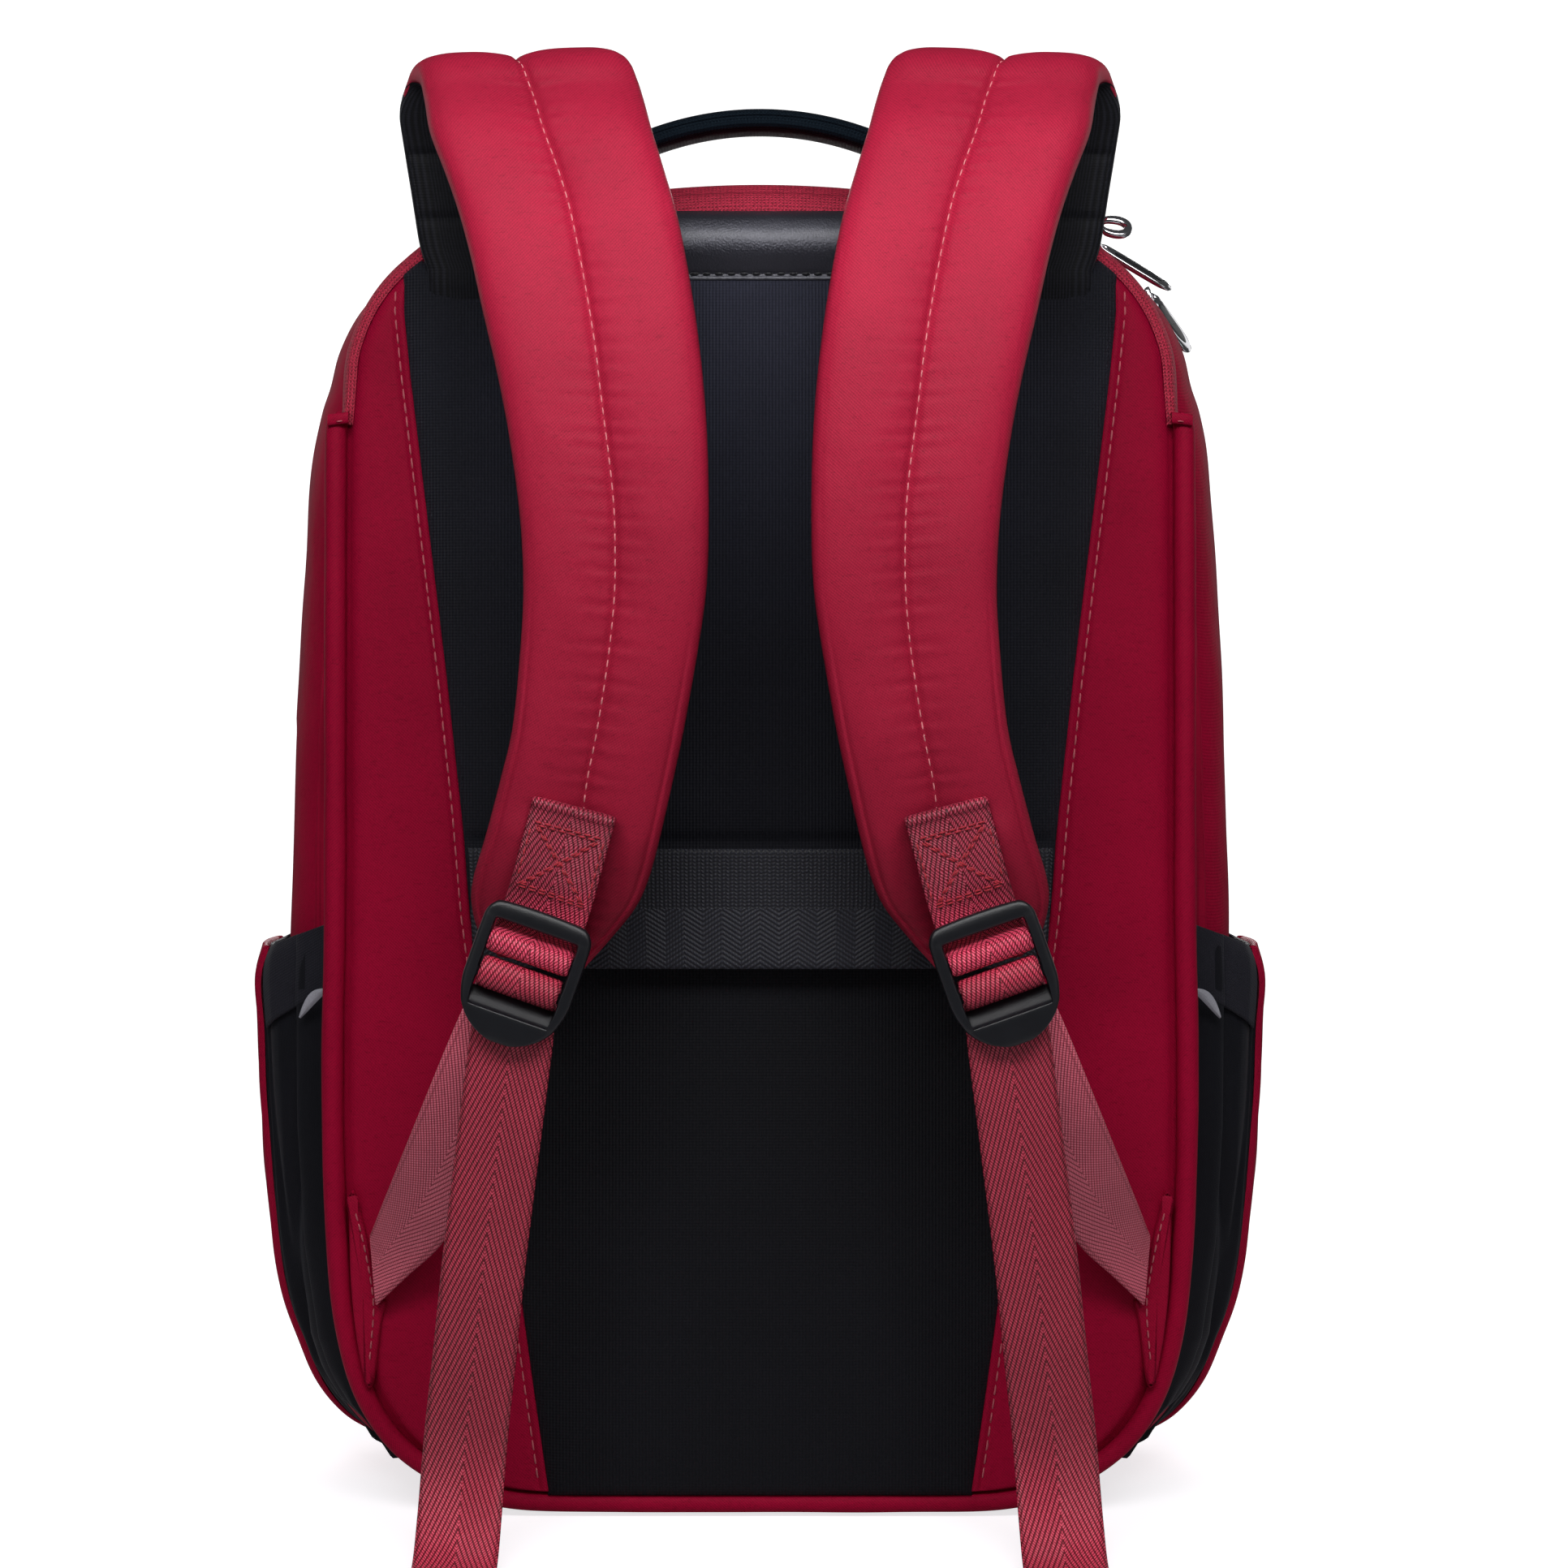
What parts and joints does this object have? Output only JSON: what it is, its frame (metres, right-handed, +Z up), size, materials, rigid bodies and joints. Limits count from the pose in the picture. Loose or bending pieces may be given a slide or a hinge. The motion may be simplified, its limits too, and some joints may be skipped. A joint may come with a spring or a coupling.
{
  "type": "travel backpack",
  "caption": "Upright travel backpack with a padded mesh back, trolley band, zipped compartments, side pockets, carry handle and padded shoulder straps on ladder-lock buckles.",
  "frame": {"origin": "middle of the footprint, on the surface that the pack stands on", "axes": "+Z up, -Y towards the wearer (harness side), +Y towards the front compartment, +X to the right when looking at the harness side"},
  "size_m": [0.344, 0.2846, 0.4559],
  "materials": {
    "red_twill": "matt twill with a soft sheen",
    "red_zip_tape": "woven tape over a closed coil",
    "red_webbing": "herringbone webbing",
    "black_mesh": "ribbed spacer mesh",
    "black_fabric": "smooth matt weave",
    "black_webbing": "flat and chevron weave",
    "black_leather": "fine grain, satin",
    "black_plastic": "satin moulded",
    "chrome": "polished",
    "grey_lining": "plain weave",
    "grey_board": "matt sheet"
  },
  "bodies": {
    "pack": {"back_panel": "red_twill", "laptop_gusset": "red_twill", "rear_piping": "red_twill", "main_shell": "red_twill", "front_shell": "red_twill", "front_slip_pocket": "red_twill", "strap_pad_left": "red_twill", "strap_pad_right": "red_twill", "webbing_wing_left": "red_twill", "webbing_wing_right": "red_twill", "pocket_panel_left": "red_twill", "pocket_panel_right": "red_twill", "laptop_zip_tab_left": "red_twill", "laptop_zip_tab_right": "red_twill", "laptop_zip_tape_rear": "red_zip_tape", "laptop_zip_tape_front": "red_zip_tape", "laptop_zip_coil": "red_zip_tape", "main_zip_tape_rear": "red_zip_tape", "main_zip_tape_front": "red_zip_tape", "main_zip_coil": "red_zip_tape", "front_zip_tape_rear": "red_zip_tape", "front_zip_tape_front": "red_zip_tape", "front_zip_coil": "red_zip_tape", "strap_webbing_left": "red_webbing", "strap_webbing_right": "red_webbing", "lower_webbing_left": "red_webbing", "lower_webbing_right": "red_webbing", "webbing_tail_left": "red_webbing", "webbing_tail_right": "red_webbing", "mesh_pad": "black_mesh", "strap_lining_left": "black_mesh", "strap_lining_right": "black_mesh", "base_panel": "black_fabric", "pocket_gusset_left": "black_fabric", "pocket_gusset_right": "black_fabric", "pocket_band_left": "black_fabric", "pocket_band_right": "black_fabric", "trolley_band": "black_webbing", "handle_anchor_left": "black_webbing", "handle_anchor_right": "black_webbing", "leather_patch": "black_leather", "laptop_divider": "grey_lining", "organiser_wall": "grey_lining", "organiser_pocket": "grey_lining", "laptop_sleeve": "grey_lining", "frame_sheet": "grey_board", "base_board": "grey_board"},
    "handle": {"carry_handle": "black_webbing"},
    "buckle_left": {"buckle_left": "black_plastic", "webbing_wrap_left": "red_webbing"},
    "buckle_right": {"buckle_right": "black_plastic", "webbing_wrap_right": "red_webbing"},
    "slider_laptop": {"slider_laptop": "chrome"},
    "puller_laptop": {"puller_laptop": "chrome"},
    "slider_main": {"slider_main": "chrome"},
    "puller_main": {"puller_main": "chrome"},
    "slider_front": {"slider_front": "chrome"},
    "puller_front": {"puller_front": "chrome"}
  },
  "joints": [
    {"name": "handle_fold", "type": "hinge", "parent": "pack", "child": "handle", "pos_m": [0, -0.01489, 0.4216], "axis": [1, 0, 0], "range_deg": [-35, 10]},
    {"name": "laptop_slider_travel", "type": "hinge", "parent": "pack", "child": "slider_laptop", "pos_m": [0.0788, -0.03779, 0.3565], "axis": [0, 1, 0], "range_deg": [-8, 50]},
    {"name": "laptop_puller_swing", "type": "hinge", "parent": "slider_laptop", "child": "puller_laptop", "pos_m": [0.10682, -0.03779, 0.40848], "axis": [0, 1, 0], "range_deg": [-100, 0]},
    {"name": "main_slider_travel", "type": "hinge", "parent": "pack", "child": "slider_main", "pos_m": [0.088, 0.00961, 0.355], "axis": [0, 1, 0], "range_deg": [-3, 45]},
    {"name": "main_puller_swing", "type": "hinge", "parent": "slider_main", "child": "puller_main", "pos_m": [0.11119, 0.00961, 0.41169], "axis": [0, 1, 0], "range_deg": [-100, 0]},
    {"name": "front_slider_travel", "type": "hinge", "parent": "pack", "child": "slider_front", "pos_m": [0.088, 0.04561, 0.355], "axis": [0, 1, 0], "range_deg": [-24, 25]},
    {"name": "front_puller_swing", "type": "hinge", "parent": "slider_front", "child": "puller_front", "pos_m": [0.1334, 0.04561, 0.40017], "axis": [0, 1, 0], "range_deg": [-100, 0]},
    {"name": "buckle_tilt_left", "type": "hinge", "parent": "pack", "child": "buckle_left", "pos_m": [-0.06783, -0.10439, 0.18293], "axis": [-0.9426, 0, 0.3338], "range_deg": [0, 20]},
    {"name": "buckle_tilt_right", "type": "hinge", "parent": "pack", "child": "buckle_right", "pos_m": [0.06783, -0.10439, 0.18293], "axis": [-0.9426, 0, -0.3338], "range_deg": [0, 20]}
  ]
}
